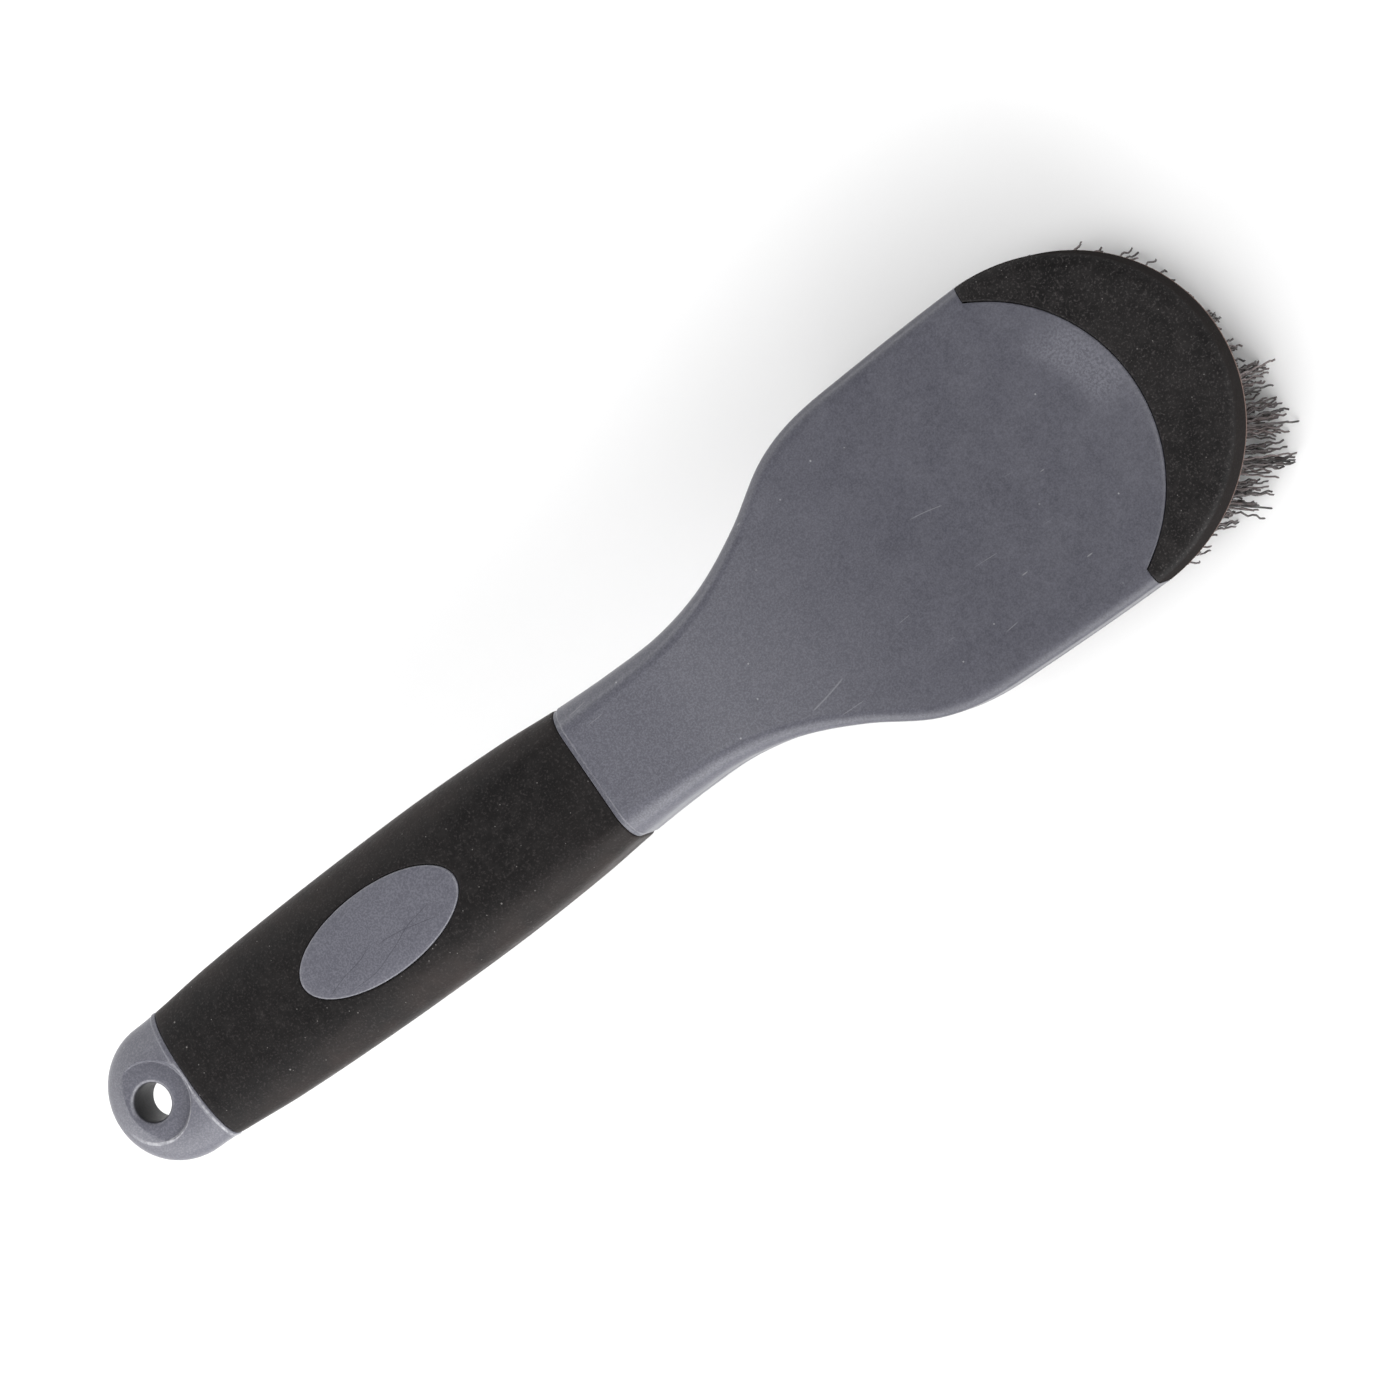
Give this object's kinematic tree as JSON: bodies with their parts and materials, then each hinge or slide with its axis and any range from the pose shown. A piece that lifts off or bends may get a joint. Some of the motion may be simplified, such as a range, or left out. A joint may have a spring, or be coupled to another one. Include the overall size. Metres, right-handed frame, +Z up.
{
  "type": "wheel brush",
  "caption": "Long-handled wheel brush: plastic handle and paddle head in one, soft grip sleeve, soft tip bumper and dark bristle tufts under the head.",
  "frame": {"origin": "middle of the brush on the plane of the bristle tips, below the bounding box's centre", "axes": "+X along the length towards the tip of the head, +Y to the left, +Z up out of the smooth top face"},
  "size_m": [0.2799, 0.07, 0.0471],
  "materials": {
    "grey_plastic": "semi-gloss",
    "grip_rubber": "matte",
    "bumper_rubber": "matte",
    "bristle": "satin",
    "staple_steel": "satin"
  },
  "bodies": {
    "root": {"moulded_body": "grey_plastic", "grip_sleeve": "grip_rubber", "tip_bumper": "bumper_rubber", "tufts_left_edge": "bristle", "tufts_tip_edge": "bristle", "tufts_right_edge": "bristle", "tufts_row_1": "bristle", "tufts_row_2": "bristle", "tufts_row_3": "bristle", "tufts_row_4": "bristle", "tufts_row_5": "bristle", "tufts_row_6": "bristle", "tufts_row_7": "bristle", "tufts_row_8": "bristle", "tufts_row_9": "bristle", "tufts_row_10": "bristle", "staples_left_edge": "staple_steel", "staples_tip_edge": "staple_steel", "staples_right_edge": "staple_steel", "staples_row_1": "staple_steel", "staples_row_2": "staple_steel", "staples_row_3": "staple_steel", "staples_row_4": "staple_steel", "staples_row_5": "staple_steel", "staples_row_6": "staple_steel", "staples_row_7": "staple_steel", "staples_row_8": "staple_steel", "staples_row_9": "staple_steel", "staples_row_10": "staple_steel"}
  },
  "joints": []
}
